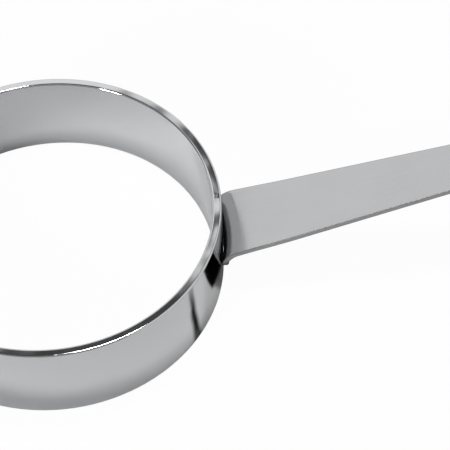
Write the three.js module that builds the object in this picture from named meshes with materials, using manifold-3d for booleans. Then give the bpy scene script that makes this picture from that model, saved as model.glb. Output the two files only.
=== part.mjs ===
// Egg ring: a rolled steel band with a flat rising strap handle whose bent tab is welded to its outside.
import * as THREE from 'three';
import { mergeVertices } from 'three/addons/utils/BufferGeometryUtils.js';
import Module from 'manifold-3d';

const wasm = await Module();
wasm.setup();

// Driving dimensions of the band, in millimetres
const bandDiameter = 90; // over the outside
const bandHeight = 25;
const bandWall = 2.3;
const rimRadius = 0.5; // edge break along both rims
const seamWidth = 0.8; // butt seam where the rolled strip's ends meet, behind the tab

// Driving dimensions of the strap handle, in millimetres and degrees
const strapThickness = 1.5;
const strapLength = 90; // how far the tip stands beyond the band
const strapRise = 15.6; // slope of the handle
const rootHeight = 13.5; // upper face where the bend ends
const rootWidth = 20.9;
const tipWidth = 11.3;
const tipRadius = 5; // rounding of the two tip corners
const bendRadius = 6; // outside of the bend at the root
const tabFoot = 2.5; // lower end of the tab above the band's lower rim
const tabCorner = 9; // rounding of the tab's two lower corners
const settleLength = 14; // stretch in which the tab's curve fades to the flat handle

// Driving dimensions of the spot welds, in millimetres
const weldDiameter = 3.6;
const weldSpacing = 7; // between the two centres, across the tab
const weldAboveFoot = 3.4;
const weldProud = 0.25; // how far a weld stands out of the tab

// Clearances, in millimetres
const tabClearance = 0.1; // between the band and the tab
const weldClearance = 0.1; // round each weld in its hole
const cutMargin = 1; // how far a cutting tool runs past what it cuts
const mergeDistance = 1e-5; // vertices closer than this are one

// Smoothness
const bandSides = 96;
const rimSteps = 2;
const bendSteps = 10;
const cornerSteps = 8;
const settleSteps = 6;
const strapColumns = 12;
const weldSides = 24;

// Worked-out places, with the band's axis at x = y = 0 and its lower rim at z = 0
const bandRadius = bandDiameter / 2;
const tabInnerRadius = bandRadius + tabClearance;
const tabOuterRadius = tabInnerRadius + strapThickness;
const rise = THREE.MathUtils.degToRad(strapRise);
const bendTurn = Math.PI / 2 - rise;
const bendCentre = new THREE.Vector2(tabInnerRadius + bendRadius, rootHeight - bendRadius * Math.cos(rise));
const tabStretch = bendCentre.y - tabFoot;
const bendStretch = bendRadius * bendTurn;
const bendEnd = tabStretch + bendStretch;
const bendEndX = bendCentre.x - bendRadius * Math.sin(rise);
const tipX = bandRadius + strapLength - strapThickness * Math.sin(rise); // upper corner of the tip
const stripLength = bendEnd + (tipX - bendEndX) / Math.cos(rise);
const weldHeight = tabFoot + weldAboveFoot;
const weldAngles = {
  front: -Math.asin(weldSpacing / 2 / tabInnerRadius),
  back: Math.asin(weldSpacing / 2 / tabInnerRadius),
};

const steel = { color: 0xb9bbbd, roughness: 0.22, metalness: 1 };
const weldSteel = { color: 0xa6a6a4, roughness: 0.45, metalness: 1 };

// Points on an arc, both ends included
function arc(centreX, centreY, radius, from, to, steps) {
  return Array.from({ length: steps + 1 }, (_, i) => {
    const angle = from + ((to - from) * i) / steps;
    return new THREE.Vector2(centreX + radius * Math.cos(angle), centreY + radius * Math.sin(angle));
  });
}

function toSolid(geometry) {
  const bare = geometry.clone();
  bare.deleteAttribute('normal');
  bare.deleteAttribute('uv');
  const merged = mergeVertices(bare, mergeDistance);
  const vertProperties = new Float32Array(merged.attributes.position.array);
  const triVerts = new Uint32Array(merged.index.array);
  return new wasm.Manifold(new wasm.Mesh({ numProp: 3, vertProperties, triVerts }));
}

function toGeometry(solid) {
  const { vertProperties, triVerts } = solid.getMesh();
  const geometry = new THREE.BufferGeometry();
  geometry.setAttribute('position', new THREE.BufferAttribute(vertProperties, 3));
  geometry.setIndex(new THREE.BufferAttribute(triVerts, 1));
  geometry.computeVertexNormals();
  return geometry;
}

function piece(name, geometry, finish) {
  const mesh = new THREE.Mesh(geometry, new THREE.MeshStandardMaterial(finish));
  mesh.name = name;
  return mesh;
}

// The whole rolled ring, with its wall's section turned about the upright axis
function ringBlank() {
  const inner = bandRadius - bandWall;
  const corners = [
    [bandRadius - rimRadius, rimRadius, -Math.PI / 2],
    [bandRadius - rimRadius, bandHeight - rimRadius, 0],
    [inner + rimRadius, bandHeight - rimRadius, Math.PI / 2],
    [inner + rimRadius, rimRadius, Math.PI],
  ];
  const rounded = ([x, z, from]) => arc(x, z, rimRadius, from, from + Math.PI / 2, rimSteps);
  const section = corners.flatMap(rounded);
  section.push(section[0].clone());
  return toSolid(new THREE.LatheGeometry(section, bandSides).rotateX(Math.PI / 2));
}

// The slot between the strip's two ends
function seamSlot() {
  const slot = new THREE.BoxGeometry(bandWall + 2 * cutMargin, seamWidth, bandHeight + 2 * cutMargin);
  return toSolid(slot.translate(bandRadius - bandWall / 2, 0, bandHeight / 2));
}

// How far a corner of this radius narrows the strip, at this distance from the strip's end
function cornerCut(radius, fromEnd) {
  const inside = Math.max(radius - fromEnd, 0);
  return radius - Math.sqrt(Math.max(radius ** 2 - inside ** 2, 0));
}

// Half the strip's width at a length along it, from the tab's foot to the tip
function halfWidth(along) {
  const taper = Math.max(along - bendEnd, 0) / (stripLength - bendEnd);
  const straight = THREE.MathUtils.lerp(rootWidth, tipWidth, taper) / 2;
  return straight - cornerCut(tabCorner, along) - cornerCut(tipRadius, stripLength - along);
}

// A point of the strip's middle line, and the direction from its upper face into the sheet
function stripLine(along) {
  if (along < tabStretch) {
    return { x: tabInnerRadius, z: tabFoot + along, inward: new THREE.Vector2(1, 0) };
  }
  const turn = Math.min((along - tabStretch) / bendRadius, bendTurn);
  const inward = new THREE.Vector2(Math.cos(turn), -Math.sin(turn));
  const past = Math.max(along - bendEnd, 0);
  return {
    x: bendCentre.x - bendRadius * inward.x + past * Math.cos(rise),
    z: bendCentre.y - bendRadius * inward.y + past * Math.sin(rise),
    inward,
  };
}

// Lengths along the strip at which it gets a row of vertices
function stripRows() {
  const parts = (steps) => Array.from({ length: steps + 1 }, (_, i) => i / steps);
  const quarter = parts(cornerSteps).map((part) => 1 - Math.cos((part * Math.PI) / 2));
  const bend = parts(bendSteps).map((part) => tabStretch + bendStretch * part);
  const settle = parts(settleSteps).map((part) => bendEnd + settleLength * part);
  const foot = quarter.map((part) => tabCorner * part);
  const tip = quarter.map((part) => stripLength - tipRadius * part);
  const rows = [...foot, ...bend, ...settle, ...tip].sort((a, b) => a - b);
  return rows.filter((row, i) => i === 0 || row - rows[i - 1] > cutMargin / 100);
}

// The bent strip: an upper and a lower grid of vertices, closed along their border
function bentStrip() {
  const rows = stripRows();
  const columns = strapColumns + 1;
  const positions = [];
  const grid = (depth, radius) => rows.forEach((along) => {
    const { x, z, inward } = stripLine(along);
    const hug = 1 - THREE.MathUtils.smoothstep(along, bendEnd, bendEnd + settleLength);
    for (let i = 0; i < columns; i += 1) {
      const y = halfWidth(along) * ((2 * i) / strapColumns - 1);
      const curve = hug * (Math.sqrt(radius ** 2 - y ** 2) - radius);
      positions.push(x + depth * inward.x + curve, y, z + depth * inward.y);
    }
  });
  grid(0, tabInnerRadius);
  grid(strapThickness, tabOuterRadius);
  const lower = rows.length * columns;
  const at = (row, column) => row * columns + column;
  const indices = [];
  const quad = (a, b, c, d) => indices.push(a, b, c, a, c, d);
  for (let row = 0; row < rows.length - 1; row += 1) {
    for (let i = 0; i < strapColumns; i += 1) {
      quad(at(row, i), at(row + 1, i), at(row + 1, i + 1), at(row, i + 1));
      quad(lower + at(row, i), lower + at(row, i + 1), lower + at(row + 1, i + 1), lower + at(row + 1, i));
    }
    quad(at(row, 0), lower + at(row, 0), lower + at(row + 1, 0), at(row + 1, 0));
    quad(
      at(row, strapColumns),
      at(row + 1, strapColumns),
      lower + at(row + 1, strapColumns),
      lower + at(row, strapColumns),
    );
  }
  const last = rows.length - 1;
  for (let i = 0; i < strapColumns; i += 1) {
    quad(at(0, i), at(0, i + 1), lower + at(0, i + 1), lower + at(0, i));
    quad(at(last, i), lower + at(last, i), lower + at(last, i + 1), at(last, i + 1));
  }
  const geometry = new THREE.BufferGeometry();
  geometry.setAttribute('position', new THREE.Float32BufferAttribute(positions, 3));
  geometry.setIndex(indices);
  return toSolid(geometry);
}

// A round bar along +X, from one distance off the band's axis to another
function radialBar(diameter, from, to) {
  const bar = new THREE.CylinderGeometry(diameter / 2, diameter / 2, to - from, weldSides);
  return bar.rotateZ(-Math.PI / 2).translate((from + to) / 2, 0, 0);
}

function handleStrap() {
  let strap = bentStrip();
  for (const angle of Object.values(weldAngles)) {
    const hole = radialBar(weldDiameter + 2 * weldClearance, bandRadius, tabOuterRadius + cutMargin);
    strap = strap.subtract(toSolid(hole.rotateZ(angle).translate(0, 0, weldHeight)));
  }
  return toGeometry(strap);
}

function spotWeld(place, angle) {
  const plug = radialBar(weldDiameter, tabInnerRadius, tabOuterRadius + weldProud);
  const weld = piece(`${place}_spot_weld`, plug, weldSteel);
  weld.position.z = weldHeight;
  weld.rotation.z = angle;
  return weld;
}

const eggRing = new THREE.Group();
eggRing.position.x = -strapLength / 2; // middle of the whole length at x = 0
const ring = ringBlank();
const slot = seamSlot();
eggRing.add(piece('ring_band', toGeometry(ring.subtract(slot)), steel));
eggRing.add(piece('band_seam_weld', toGeometry(ring.intersect(slot)), weldSteel));
eggRing.add(piece('handle_strap', handleStrap(), steel));
for (const [place, angle] of Object.entries(weldAngles)) {
  eggRing.add(spotWeld(place, angle));
}

export default eggRing;
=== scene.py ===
import math

import bmesh
import bpy
from mathutils import Euler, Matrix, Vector


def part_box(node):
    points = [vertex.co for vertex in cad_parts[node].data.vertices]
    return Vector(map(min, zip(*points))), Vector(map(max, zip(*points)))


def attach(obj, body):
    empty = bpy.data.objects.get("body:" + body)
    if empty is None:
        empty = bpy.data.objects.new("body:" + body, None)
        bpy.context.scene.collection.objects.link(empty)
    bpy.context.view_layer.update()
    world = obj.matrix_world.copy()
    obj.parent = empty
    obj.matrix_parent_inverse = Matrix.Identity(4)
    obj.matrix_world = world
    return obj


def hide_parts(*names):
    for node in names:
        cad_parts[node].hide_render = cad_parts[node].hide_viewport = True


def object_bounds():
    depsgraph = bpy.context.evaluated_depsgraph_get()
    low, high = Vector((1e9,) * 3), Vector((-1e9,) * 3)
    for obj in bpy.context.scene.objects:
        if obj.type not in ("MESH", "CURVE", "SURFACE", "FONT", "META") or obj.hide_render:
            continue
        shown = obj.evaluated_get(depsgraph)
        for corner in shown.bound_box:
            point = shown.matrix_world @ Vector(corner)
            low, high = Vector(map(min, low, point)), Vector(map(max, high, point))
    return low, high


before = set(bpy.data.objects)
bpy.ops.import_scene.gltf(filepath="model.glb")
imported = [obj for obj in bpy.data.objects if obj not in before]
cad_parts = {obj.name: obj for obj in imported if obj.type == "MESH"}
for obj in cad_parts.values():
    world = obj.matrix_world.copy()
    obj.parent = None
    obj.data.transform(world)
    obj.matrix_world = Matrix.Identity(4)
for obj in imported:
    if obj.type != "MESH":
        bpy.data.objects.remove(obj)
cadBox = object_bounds()
bandLow, bandHigh = (Vector(c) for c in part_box("ring_band"))
strapHigh = Vector(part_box("handle_strap")[1])
bandCentre = (bandLow + bandHigh) / 2
bandRadius = (bandHigh.x - bandLow.x) / 2
bandHeight = bandHigh.z - bandLow.z
floorLevel = cadBox[0].z
print(f"frame loaded: band {bandRadius * 2000:.2f} mm across, {bandHeight * 1000:.2f} mm high")


# small helpers for node trees and for pieces

def addNode(tree, kind, links=None, **settings):
    node = tree.nodes.new(kind)
    for key, value in settings.items():
        setattr(node, key, value)
    for socket, source in (links or {}).items():
        target = node.inputs[socket]
        if isinstance(source, bpy.types.NodeSocket):
            tree.links.new(source, target)
        else:
            target.default_value = source
    return node


def mathNode(tree, operation, *values):
    links = dict(enumerate(values))
    return addNode(tree, "ShaderNodeMath", links, operation=operation).outputs[0]


def spanNode(tree, value, fromSpan, toSpan, curve="LINEAR"):  # maps one span of values to another
    return addNode(tree, "ShaderNodeMapRange", {
        "Value": value, "From Min": fromSpan[0], "From Max": fromSpan[1],
        "To Min": toSpan[0], "To Max": toSpan[1]}, interpolation_type=curve).outputs[0]


def evenly(start, end, steps):  # numbers from start to end, both included
    return [start + (end - start) * i / steps for i in range(steps + 1)]


def startTree(name, inputs):
    tree = bpy.data.node_groups.new(name, "GeometryNodeTree")
    tree.is_modifier = True
    for label, kind in inputs:
        tree.interface.new_socket(name=label, in_out="INPUT", socket_type="NodeSocket" + kind)
    tree.interface.new_socket(name="Geometry", in_out="OUTPUT", socket_type="NodeSocketGeometry")
    return tree, tree.nodes.new("NodeGroupInput").outputs


def endTree(tree, geometry, material):
    realized = addNode(tree, "GeometryNodeRealizeInstances", {"Geometry": geometry})
    shaded = addNode(tree, "GeometryNodeSetShadeSmooth", {"Geometry": realized.outputs[0]})
    painted = addNode(tree, "GeometryNodeSetMaterial", {
        "Geometry": shaded.outputs[0], "Material": material})
    addNode(tree, "NodeGroupOutput", {"Geometry": painted.outputs[0]})


def growPiece(name, tree, values):
    piece = bpy.data.objects.new(name, bpy.data.meshes.new(name))
    bpy.context.collection.objects.link(piece)
    grower = piece.modifiers.new("grow", "NODES")
    grower.node_group = tree
    for socket in tree.interface.items_tree:
        if socket.in_out == "INPUT" and socket.name in values:
            grower[socket.identifier] = values[socket.name]
    return settle(piece)


def settle(piece):  # turns the modifiers' result into the piece's own plain mesh
    graph = bpy.context.evaluated_depsgraph_get()
    graph.update()
    mesh = bpy.data.meshes.new_from_object(piece.evaluated_get(graph), depsgraph=graph)
    piece.modifiers.clear()
    piece.data = mesh
    mesh.name = piece.name
    return piece


sharpAngle = math.radians(50)


def flatFaces(piece):  # large faces keep their own normals, only the small rounds shade smoothly
    piece.data.set_sharp_from_angle(angle=sharpAngle)
    piece.modifiers.new("flat faces", "WEIGHTED_NORMAL").keep_sharp = True
    return settle(piece)


# steel finishes

bandLook = {
    "base": (0.64, 0.645, 0.655, 1),
    "roughness": (0.055, 0.11),  # polished patches to hazy ones
    "lineScale": 5200,           # drawing lines per metre across the strip
    "lineStretch": 40,           # changes per metre along a line
    "lineBump": 0.02,
    "lineDepth": 0.0002,
    "hazeScale": 55,
    "waveScale": 60,             # slow unevenness of the rolled sheet
    "waveDepth": 0.0004,
}

strapLook = {
    "base": (0.50, 0.503, 0.51, 1),
    "roughness": (0.16, 0.28),
    "lineScale": 4200,
    "lineStretch": 30,
    "lineBump": 0.04,
    "lineDepth": 0.0002,
    "hazeScale": 70,
    "waveScale": 45,
    "waveDepth": 0.00005,
}

seamLook = bandLook | {
    "roughness": (0.10, 0.18),   # weld ground flush with the band
    "lineBump": 0.05,
}

# the strap's sheared edge: its grain and roughness are real, and its darker base colour is partly
# painted shade, standing in for the shade that the thin edge mirrors
dullEdgeAndShadeLook = {
    "base": (0.40, 0.40, 0.405, 1),
    "roughness": (0.32, 0.48),
    "grainScale": 2500,
    "grainBump": 0.2,
    "grainDepth": 0.0002,
}

weldLook = {
    "base": (0.52, 0.51, 0.50, 1),
    "roughness": (0.34, 0.5),
    "grainScale": 1500,
    "grainBump": 0.25,
    "grainDepth": 0.0003,
}

noiseSpan = (0.3, 0.7)           # where most values of one noise texture lie
noisePairSpan = (0.7, 1.3)       # the same for two of them added


def startMaterial(name, base):
    material = bpy.data.materials.new(name)
    material.use_nodes = True
    tree = material.node_tree
    shader = tree.nodes["Principled BSDF"]
    shader.inputs["Base Color"].default_value = base
    shader.inputs["Metallic"].default_value = 1
    return material, tree, shader


# strip names a UV map laid along the strip; without it the drawing lines run level round the band
def polishedSteel(name, look, strip=""):
    material, tree, shader = startMaterial(name, look["base"])
    place = addNode(tree, "ShaderNodeTexCoord").outputs["Object"]
    if strip:
        way = addNode(tree, "ShaderNodeUVMap", uv_map=strip).outputs[0]
        stretch = (look["lineStretch"], look["lineScale"], 1)
    else:
        way = place
        stretch = (look["lineStretch"], look["lineStretch"], look["lineScale"])
    turned = addNode(tree, "ShaderNodeMapping", {"Vector": way, "Scale": stretch})
    lines = addNode(tree, "ShaderNodeTexNoise", {
        "Vector": turned.outputs[0], "Scale": 1.0, "Detail": 3.0, "Roughness": 0.6}).outputs["Fac"]
    haze = addNode(tree, "ShaderNodeTexNoise", {
        "Vector": place, "Scale": look["hazeScale"], "Detail": 4.0}).outputs["Fac"]
    waves = addNode(tree, "ShaderNodeTexNoise", {
        "Vector": place, "Scale": look["waveScale"], "Detail": 1.0}).outputs["Fac"]
    rough = spanNode(tree, mathNode(tree, "ADD", lines, haze), noisePairSpan, look["roughness"])
    bump = addNode(tree, "ShaderNodeBump", {
        "Height": lines, "Strength": look["lineBump"], "Distance": look["lineDepth"]})
    uneven = addNode(tree, "ShaderNodeBump", {
        "Height": waves, "Strength": 1.0, "Distance": look["waveDepth"],
        "Normal": bump.outputs[0]})
    tree.links.new(rough, shader.inputs["Roughness"])
    tree.links.new(uneven.outputs[0], shader.inputs["Normal"])
    return material


def dullMetal(name, look):  # fine grain, for the strap's sheared edge and for weld metal
    material, tree, shader = startMaterial(name, look["base"])
    place = addNode(tree, "ShaderNodeTexCoord").outputs["Object"]
    grain = addNode(tree, "ShaderNodeTexNoise", {
        "Vector": place, "Scale": look["grainScale"], "Detail": 3.0}).outputs["Fac"]
    rough = spanNode(tree, grain, noiseSpan, look["roughness"])
    bump = addNode(tree, "ShaderNodeBump", {
        "Height": grain, "Strength": look["grainBump"], "Distance": look["grainDepth"]})
    tree.links.new(rough, shader.inputs["Roughness"])
    tree.links.new(bump.outputs[0], shader.inputs["Normal"])
    return material


# strap handle: one flat tapered strip with a bent tab, laid out along its length and across its width

strapSpec = {
    "thickness": 0.0015,
    "rise": math.radians(15.6),
    "rootHeight": 0.0135,        # upper face where the bend ends
    "rootWidth": 0.0209,
    "tipWidth": 0.0113,
    "tipRadius": 0.005,
    "bendRadius": 0.006,         # outside of the bend
    "tabGap": 0.0001,            # between the tab and the band
    "tabFoot": 0.0025,           # tab's lower end above the floor
    "tabCorner": 0.009,
    "settleLength": 0.014,       # stretch in which the tab's curve fades to the flat handle
    "edgeRound": 0.0003,
    "roundSteps": 4,
    "columns": 20,
    "cornerSteps": 24,
    "bendSteps": 30,
    "settleSteps": 14,
    "runSteps": 24,
    "rowGap": 0.0001,            # least distance from the tab's corner to the next row
}


def strapPlaces(spec):  # where the tab, the bend and the straight run begin and end
    rise, bend = spec["rise"], spec["bendRadius"]
    tabRadius = bandRadius + spec["tabGap"]
    centre = Vector((tabRadius + bend, spec["rootHeight"] - bend * math.cos(rise)))
    turn = math.pi / 2 - rise
    tabEnd = centre.y - spec["tabFoot"]
    bendEnd = tabEnd + bend * turn
    tipX = strapHigh.x - bandCentre.x - spec["thickness"] * math.sin(rise)
    return {
        "tabRadius": tabRadius,
        "centre": centre,
        "turn": turn,
        "tabEnd": tabEnd,
        "bendEnd": bendEnd,
        "length": bendEnd + (tipX - centre.x + bend * math.sin(rise)) / math.cos(rise),
    }


def strapPoint(spec, places, along, across, depth):  # from the flat strip to its bent shape
    bend, rise = spec["bendRadius"], spec["rise"]
    turn = min(max((along - places["tabEnd"]) / bend, 0), places["turn"])
    inward = Vector((math.cos(turn), -math.sin(turn)))
    spot = places["centre"] + inward * (depth - bend)
    spot.y += min(along - places["tabEnd"], 0)
    spot += Vector((math.cos(rise), math.sin(rise))) * max(along - places["bendEnd"], 0)
    fade = min(max((along - places["bendEnd"]) / spec["settleLength"], 0), 1)
    radius = places["tabRadius"] + depth
    hug = (1 - fade * fade * (3 - 2 * fade)) * (math.sqrt(radius ** 2 - across ** 2) - radius)
    return Vector((bandCentre.x + spot.x + hug, bandCentre.y + across, bandLow.z + spot.y))


def strapRows(spec, places, inset):  # (along, half width) of each row, with the outline pulled in
    tabEnd, bendEnd, length = places["tabEnd"], places["bendEnd"], places["length"]
    settleEnd, runEnd = bendEnd + spec["settleLength"], length - spec["tipRadius"]
    foot, tip = spec["tabCorner"] - inset, spec["tipRadius"] - inset
    quarter = [1 - math.cos(a) for a in evenly(0, math.pi / 2, spec["cornerSteps"])]
    bend = evenly(tabEnd, bendEnd, spec["bendSteps"])
    rows = [inset + foot * part for part in quarter]
    rows += [along for along in bend if along > spec["tabCorner"] + spec["rowGap"]]
    rows += evenly(bendEnd, settleEnd, spec["settleSteps"])[1:]
    rows += evenly(settleEnd, runEnd, spec["runSteps"])[1:-1]
    rows += [length - inset - tip * part for part in reversed(quarter)]

    def half(along):
        taper = max(along - bendEnd, 0) / (length - bendEnd)
        wide = (spec["rootWidth"] + (spec["tipWidth"] - spec["rootWidth"]) * taper) / 2 - inset
        for radius, gap in ((foot, along - inset), (tip, length - inset - along)):
            short = max(radius - gap, 0)
            wide -= radius - math.sqrt(max(radius ** 2 - short ** 2, 0))
        return wide
    return [(along, half(along)) for along in rows]


def makeStrap(spec, material, edge):
    places = strapPlaces(spec)
    mesh = bmesh.new()
    spread = mesh.loops.layers.uv.new("strip")
    flat = {}                    # place of each vertex on the flat strip
    columns = spec["columns"]

    def layer(inset, depth, borderOnly):  # one sheet of vertices, or only its border
        rows = strapRows(spec, places, inset)
        grid = {}
        for r, (along, half) in enumerate(rows):
            for c in range(columns + 1):
                if borderOnly and 0 < r < len(rows) - 1 and 0 < c < columns:
                    continue
                across = half * (2 * c / columns - 1)
                grid[r, c] = mesh.verts.new(strapPoint(spec, places, along, across, depth))
                flat[grid[r, c]] = (along, across)
        return grid, len(rows) - 1

    def border(grid, last):
        ring = [(0, c) for c in range(columns)] + [(r, columns) for r in range(last)]
        ring += [(last, c) for c in range(columns, 0, -1)] + [(r, 0) for r in range(last, 0, -1)]
        return [grid[key] for key in ring]

    small, thick = spec["edgeRound"], spec["thickness"]
    angles = evenly(0, math.pi / 2, spec["roundSteps"])
    sections = [(small * (1 - math.sin(a)), small * (1 - math.cos(a))) for a in angles]
    sections += [(inset, thick - depth) for inset, depth in reversed(sections)]
    sheets = []
    for i, (inset, depth) in enumerate(sections):
        sheets.append(layer(inset, depth, 0 < i < len(sections) - 1))
    for one, two in zip(sheets, sheets[1:]):
        a, b = border(*one), border(*two)
        for i in range(len(a)):
            mesh.faces.new((a[i - 1], a[i], b[i], b[i - 1])).material_index = 1
    for grid, last in (sheets[0], sheets[-1]):
        for r in range(last):
            for c in range(columns):
                mesh.faces.new((grid[r, c], grid[r, c + 1], grid[r + 1, c + 1], grid[r + 1, c]))
    bmesh.ops.recalc_face_normals(mesh, faces=mesh.faces)
    for face in mesh.faces:
        for corner in face.loops:
            corner[spread].uv = flat[corner.vert]
    data = bpy.data.meshes.new("strap_handle")
    mesh.to_mesh(data)
    mesh.free()
    data.materials.append(material)
    data.materials.append(edge)
    data.shade_smooth()
    piece = bpy.data.objects.new("strap_handle", data)
    bpy.context.collection.objects.link(piece)
    return flatFaces(piece)


# rolled band and its seam bead: one wall section swept round an arc

bandSpec = {
    "wall": 0.0023,
    "rimRound": 0.0005,
    "roundSteps": 8,
    "seamWidth": 0.0008,
    "steps": 480,
    "beadSteps": 6,
}


def sweptWallTree():
    tree, given = startTree("swept wall", [
        ("Radius", "Float"), ("Height", "Float"), ("Wall", "Float"), ("Rim Round", "Float"),
        ("Round Steps", "Int"), ("Start", "Float"), ("Sweep", "Float"), ("Steps", "Int"),
        ("Centre", "Vector"), ("Finish", "Material")])
    path = addNode(tree, "GeometryNodeCurveArc", {
        "Resolution": given["Steps"], "Radius": given["Radius"],
        "Start Angle": given["Start"], "Sweep Angle": given["Sweep"]}, mode="RADIUS")
    upright = addNode(tree, "GeometryNodeSetCurveNormal", {"Curve": path.outputs[0]}, mode="Z_UP")
    section = addNode(tree, "GeometryNodeCurvePrimitiveQuadrilateral", {
        "Width": given["Wall"], "Height": given["Height"]}, mode="RECTANGLE")
    rounded = addNode(tree, "GeometryNodeFilletCurve", {
        "Curve": section.outputs[0], "Count": given["Round Steps"],
        "Radius": given["Rim Round"]}, mode="POLY")
    wall = addNode(tree, "GeometryNodeCurveToMesh", {
        "Curve": upright.outputs[0], "Profile Curve": rounded.outputs[0], "Fill Caps": True})
    placed = addNode(tree, "GeometryNodeTransform", {
        "Geometry": wall.outputs[0], "Translation": given["Centre"]})
    endTree(tree, placed.outputs[0], given["Finish"])
    return tree


def makeBand(spec, steel, seam):
    tree = sweptWallTree()
    gap = spec["seamWidth"] / bandRadius
    shared = {
        "Radius": bandRadius - spec["wall"] / 2, "Centre": tuple(bandCentre),
        "Height": bandHeight, "Wall": spec["wall"],
        "Rim Round": spec["rimRound"], "Round Steps": spec["roundSteps"],
    }
    band = growPiece("rolled_band", tree, shared | {
        "Start": gap / 2, "Sweep": 2 * math.pi - gap, "Steps": spec["steps"], "Finish": steel})
    bead = growPiece("seam_bead", tree, shared | {
        "Start": -gap / 2, "Sweep": gap, "Steps": spec["beadSteps"], "Finish": seam})
    return flatFaces(band), flatFaces(bead)


# spot welds: shallow dished marks on the tab

weldSpec = {
    "radius": 0.0018,
    "spacing": 0.007,            # between the two centres, across the tab
    "aboveFoot": 0.0034,         # weld centre above the tab's lower end
    "thickness": 0.0004,
    "proud": 0.00012,
    "dish": 0.00022,
    "sides": 64,
    "rings": 10,
}


def spotWeldTree():
    tree, given = startTree("spot welds", [
        ("Radius", "Float"), ("Thickness", "Float"), ("Dish", "Float"),
        ("Front", "Vector"), ("Back", "Vector"), ("Axis", "Vector"),
        ("Sides", "Int"), ("Rings", "Int"), ("Finish", "Material")])
    disc = addNode(tree, "GeometryNodeMeshCylinder", {
        "Vertices": given["Sides"], "Fill Segments": given["Rings"],
        "Radius": given["Radius"], "Depth": given["Thickness"]}, fill_type="NGON")
    # the disc's upper face sinks towards its middle
    spot = addNode(tree, "GeometryNodeInputPosition").outputs[0]
    x, y, z = addNode(tree, "ShaderNodeSeparateXYZ", {"Vector": spot}).outputs
    flat = addNode(tree, "ShaderNodeCombineXYZ", {"X": x, "Y": y}).outputs[0]
    away = addNode(tree, "ShaderNodeVectorMath", {0: flat}, operation="LENGTH").outputs["Value"]
    share = mathNode(tree, "DIVIDE", away, given["Radius"])
    hollow = mathNode(tree, "SUBTRACT", 1.0, mathNode(tree, "POWER", share, 2.0))
    depth = mathNode(tree, "MULTIPLY", hollow, given["Dish"])
    drop = mathNode(tree, "MULTIPLY", depth, mathNode(tree, "GREATER_THAN", z, 0.0))
    move = addNode(tree, "ShaderNodeCombineXYZ", {"Z": mathNode(tree, "MULTIPLY", drop, -1.0)})
    dished = addNode(tree, "GeometryNodeSetPosition", {
        "Geometry": disc.outputs["Mesh"], "Offset": move.outputs[0]})
    # one disc at each place, turned to face away from the band's axis
    line = addNode(tree, "GeometryNodeMeshLine", {
        "Count": 2, "Start Location": given["Front"], "Offset": given["Back"]}, mode="END_POINTS")
    spoke = addNode(tree, "ShaderNodeVectorMath", {0: spot, 1: given["Axis"]}, operation="SUBTRACT")
    reach = addNode(tree, "ShaderNodeSeparateXYZ", {"Vector": spoke.outputs[0]}).outputs
    turn = mathNode(tree, "ARCTAN2", reach["Y"], reach["X"])
    facing = addNode(tree, "ShaderNodeCombineXYZ", {"Y": math.pi / 2, "Z": turn})
    placed = addNode(tree, "GeometryNodeInstanceOnPoints", {
        "Points": line.outputs[0], "Instance": dished.outputs[0], "Rotation": facing.outputs[0]})
    endTree(tree, placed.outputs[0], given["Finish"])
    return tree


def makeSpotWelds(spec, strap, weld):
    tabRadius = bandRadius + strap["tabGap"]
    angle = math.asin(spec["spacing"] / 2 / tabRadius)
    away = tabRadius + strap["thickness"] + spec["proud"] - spec["thickness"] / 2
    x = bandCentre.x + away * math.cos(angle)
    aside = away * math.sin(angle)
    height = bandLow.z + strap["tabFoot"] + spec["aboveFoot"]
    return growPiece("spot_welds", spotWeldTree(), {
        "Radius": spec["radius"], "Thickness": spec["thickness"], "Dish": spec["dish"],
        "Front": (x, bandCentre.y - aside, height), "Back": (x, bandCentre.y + aside, height),
        "Axis": tuple(bandCentre), "Sides": spec["sides"], "Rings": spec["rings"], "Finish": weld})


# put the object together

bandSteel = polishedSteel("band steel", bandLook)
strapSteel = polishedSteel("strap steel", strapLook, "strip")
dullEdgeAndShadeSteel = dullMetal("cut edge dull and painted shade", dullEdgeAndShadeLook)
seamSteel = polishedSteel("dressed seam", seamLook)
weldSteel = dullMetal("weld metal", weldLook)
strap = makeStrap(strapSpec, strapSteel, dullEdgeAndShadeSteel)
print("strap handle:", len(strap.data.polygons), "faces")
band, bead = makeBand(bandSpec, bandSteel, seamSteel)
print("rolled band:", len(band.data.polygons), "faces")
print("seam bead:", len(bead.data.polygons), "faces")
welds = makeSpotWelds(weldSpec, strapSpec, weldSteel)
print("spot welds:", len(welds.data.polygons), "faces")
for piece, slot, nodes in (
        (band, "polished_steel", ["ring_band"]),
        (bead, "weld_steel", ["band_seam_weld"]),
        (strap, "polished_steel", ["handle_strap"]),
        (welds, "weld_steel", ["front_spot_weld", "back_spot_weld"])):
    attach(piece, "root")
    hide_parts(*nodes)


# floor, and the dark cards on it that only the metal mirrors: painted shadow, a dark patch under the
# handle and a thin dark line in front of it, seen in the band's reflections

floorSpec = {
    "half": 3.0,
    "colour": (0.93, 0.93, 0.93, 1),
    "seenGlow": 0.97,            # share of plain white that the camera sees
    "mirrorGlow": 0.01,          # the same share where metal mirrors the floor
}

# corners are measured from the band's axis, turn is in degrees, soft is the share that fades out
shadowCardSpecs = [
    # both cards are painted shadow: the handle card for the shade under the handle, the strip card for
    # a thin shadow line beside it
    {"name": "handle shadow card", "low": (0.0455, -0.0148), "high": (0.08, 0.0105), "turn": 0, "soft": 0.1},
    {"name": "strip shadow card", "low": (0.0275, -0.0277), "high": (0.0575, -0.0237), "turn": 9, "soft": 0.9},
]
shadowCardLift = 0.0001                # above the floor
# colour of the painted shadow cards
paintedShadowBlack = (0.01, 0.01, 0.01, 1)
white = (1, 1, 1, 1)


def blankMaterial(name):
    material = bpy.data.materials.new(name)
    material.use_nodes = True
    material.node_tree.nodes.clear()
    return material, material.node_tree


def mirrorRay(tree, ray):  # 1 where metal or glass looks
    return mathNode(tree, "MAXIMUM", ray["Is Glossy Ray"], ray["Is Transmission Ray"])


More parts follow.
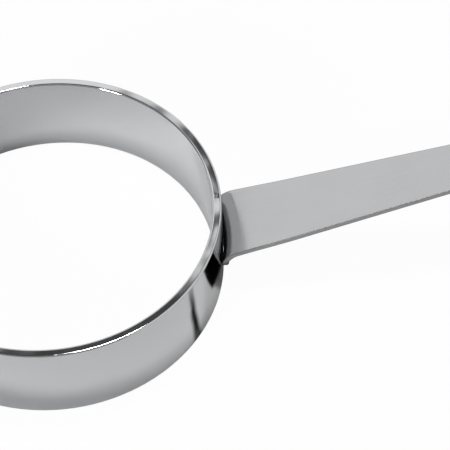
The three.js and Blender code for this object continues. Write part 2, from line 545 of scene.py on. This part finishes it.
def floorWhite(spec):
    material, tree = blankMaterial("floor white")
    paper = addNode(tree, "ShaderNodeBsdfDiffuse", {"Color": spec["colour"]})
    glow = addNode(tree, "ShaderNodeEmission", {"Color": white, "Strength": 1.0})
    ray = addNode(tree, "ShaderNodeLightPath").outputs
    faint = mathNode(tree, "MULTIPLY", mirrorRay(tree, ray), spec["mirrorGlow"])
    share = mathNode(tree, "MULTIPLY_ADD", ray["Is Camera Ray"], spec["seenGlow"], faint)
    mixed = addNode(tree, "ShaderNodeMixShader", {
        0: share, 1: paper.outputs[0], 2: glow.outputs[0]})
    addNode(tree, "ShaderNodeOutputMaterial", {"Surface": mixed.outputs[0]})
    return material


# painted shadow for the floor cards
def softPaintedShadow(name, soft):  # black in the middle of a card and clear at its border
    material, tree = blankMaterial(name)
    place = addNode(tree, "ShaderNodeTexCoord").outputs["Object"]
    away = addNode(tree, "ShaderNodeVectorMath", {0: place}, operation="ABSOLUTE").outputs[0]
    split = addNode(tree, "ShaderNodeSeparateXYZ", {"Vector": away}).outputs
    outer = mathNode(tree, "MAXIMUM", split["X"], split["Y"])
    fade = spanNode(tree, outer, (1 - soft, 1), (0, 1), "SMOOTHSTEP")
    black = addNode(tree, "ShaderNodeBsdfDiffuse", {"Color": paintedShadowBlack})
    clear = addNode(tree, "ShaderNodeBsdfTransparent")
    mixed = addNode(tree, "ShaderNodeMixShader", {
        0: fade, 1: black.outputs[0], 2: clear.outputs[0]})
    addNode(tree, "ShaderNodeOutputMaterial", {"Surface": mixed.outputs[0]})
    return material


def flatSheet(name, middle, half, material):  # a level sheet, scaled to its half sizes
    data = bpy.data.meshes.new(name)
    data.from_pydata([(-1, -1, 0), (1, -1, 0), (1, 1, 0), (-1, 1, 0)], [], [(0, 1, 2, 3)])
    data.materials.append(material)
    sheet = bpy.data.objects.new(name, data)
    bpy.context.collection.objects.link(sheet)
    sheet.location = middle
    sheet.scale = (*half, 1)
    return sheet


def makeFloor(spec):
    half = (spec["half"], spec["half"])
    floor = flatSheet("floor", (0, 0, floorLevel), half, floorWhite(spec))


def makeShadowCard(spec):
    low, high = Vector(spec["low"]), Vector(spec["high"])
    middle = bandCentre.xy + (low + high) / 2
    place = (middle.x, middle.y, floorLevel + shadowCardLift)
    finish = softPaintedShadow(spec["name"], spec["soft"])
    card = flatSheet(spec["name"], place, (high - low) / 2, finish)
    card.rotation_euler.z = math.radians(spec["turn"])
    # the card is painted shadow, seen only where the metal mirrors the floor
    card.visible_camera = False
    card.visible_diffuse = False
    card.visible_shadow = False


# sky, lamps and camera

skySpec = {
    "white": 1.0,
    "dark": 0.03,
    "low": 0.85,                 # share of the white wall's strength near the ground
    "foot": (0.50, 0.60),        # sine of the height where the white wall reaches its full strength
    "edge": (0.743, 0.783),      # and where it ends
    "slant": 0.5,                # how fast its upper edge falls to the right
    "flank": (0.15, 0.55),       # how far behind the object it begins
    "sides": [                   # other light parts, by the way to their middle
        {"way": (-0.45, -0.9, 0), "edge": (0.15, 0.6), "glow": 0.32},               # left front
        {"way": (0.9, 0.2, 0), "edge": (0.28, 0.42), "glow": 0.8},                  # right
        {"way": (0.0307, 0.5965, 0.802), "edge": (0.99964, 0.99986), "glow": 1.0},  # small patch
    ],
}

lampSpecs = [
    {"name": "key", "place": (0.055, 0.173, 1.1), "size": 0.25, "power": 5.0},
    {"name": "front", "place": (-0.703, -0.658, 0.41), "size": 0.2, "power": 6.2},
]
lampAim = (-0.045, 0, 0)         # foot of the band's axis

cameraSpec = {
    "aim": (0.00072, -0.00029, 0.0125),
    "azimuth": math.radians(-93.56),
    "elevation": math.radians(53.0),
    "distance": 0.48933,
    "sensor": 36,
    "lens": 148.82,
    "roll": math.radians(-1.98),
    "nearest": 0.01,             # where the view begins
}


def makeSky(spec):
    world = bpy.data.worlds.new("studio")
    bpy.context.scene.world = world
    world.use_nodes = True
    tree = world.node_tree
    tree.nodes.clear()
    way = addNode(tree, "ShaderNodeTexCoord").outputs["Generated"]
    x, y, z = addNode(tree, "ShaderNodeSeparateXYZ", {"Vector": way}).outputs
    slanted = mathNode(tree, "MULTIPLY_ADD", x, spec["slant"], z)
    wall = spanNode(tree, slanted, spec["edge"], (spec["white"], spec["dark"]), "SMOOTHSTEP")
    foot = spanNode(tree, z, spec["foot"], (spec["low"], 1), "SMOOTHSTEP")
    flank = spanNode(tree, y, spec["flank"], (0, 1), "SMOOTHSTEP")
    panel = mathNode(tree, "MULTIPLY", wall, foot)
    light = mathNode(tree, "MULTIPLY", panel, flank)
    for side in spec["sides"]:
        near = addNode(tree, "ShaderNodeVectorMath", {0: way, 1: side["way"]}, operation="DOT_PRODUCT")
        glow = spanNode(
            tree, near.outputs["Value"], side["edge"], (spec["dark"], side["glow"]), "SMOOTHSTEP")
        light = mathNode(tree, "MAXIMUM", light, glow)
    ray = addNode(tree, "ShaderNodeLightPath").outputs
    inMetal = mathNode(tree, "MULTIPLY_ADD", light, mirrorRay(tree, ray), spec["dark"])
    strength = mathNode(tree, "MAXIMUM", inMetal, ray["Is Camera Ray"])
    sky = addNode(tree, "ShaderNodeBackground", {"Color": white, "Strength": strength})
    addNode(tree, "ShaderNodeOutputWorld", {"Surface": sky.outputs[0]})


def makeLamp(spec):
    data = bpy.data.lights.new(spec["name"], "AREA")
    data.shape = "DISK"
    data.size = spec["size"]
    data.energy = spec["power"]
    lamp = bpy.data.objects.new(spec["name"] + "_lamp", data)
    bpy.context.collection.objects.link(lamp)
    lamp.location = spec["place"]
    lamp.rotation_euler = (Vector(lampAim) - lamp.location).to_track_quat("-Z", "Y").to_euler()


def makeCamera(spec):
    data = bpy.data.cameras.new("camera")
    data.sensor_width = spec["sensor"]
    data.lens = spec["lens"]
    data.clip_start = spec["nearest"]
    camera = bpy.data.objects.new("camera", data)
    bpy.context.collection.objects.link(camera)
    azimuth, elevation = spec["azimuth"], spec["elevation"]
    flat = math.cos(elevation)
    back = Vector((flat * math.cos(azimuth), flat * math.sin(azimuth), math.sin(elevation)))
    camera.location = Vector(spec["aim"]) + back * spec["distance"]
    level = (-back).to_track_quat("-Z", "Y")
    camera.rotation_mode = "QUATERNION"
    camera.rotation_quaternion = level @ Euler((0, 0, spec["roll"])).to_quaternion()
    bpy.context.scene.camera = camera


makeFloor(floorSpec)
for shadowCardSpec in shadowCardSpecs:
    makeShadowCard(shadowCardSpec)
makeSky(skySpec)
for lampSpec in lampSpecs:
    makeLamp(lampSpec)
makeCamera(cameraSpec)
bpy.context.scene.view_settings.view_transform = "Standard"
print("stage, lights and camera ready")
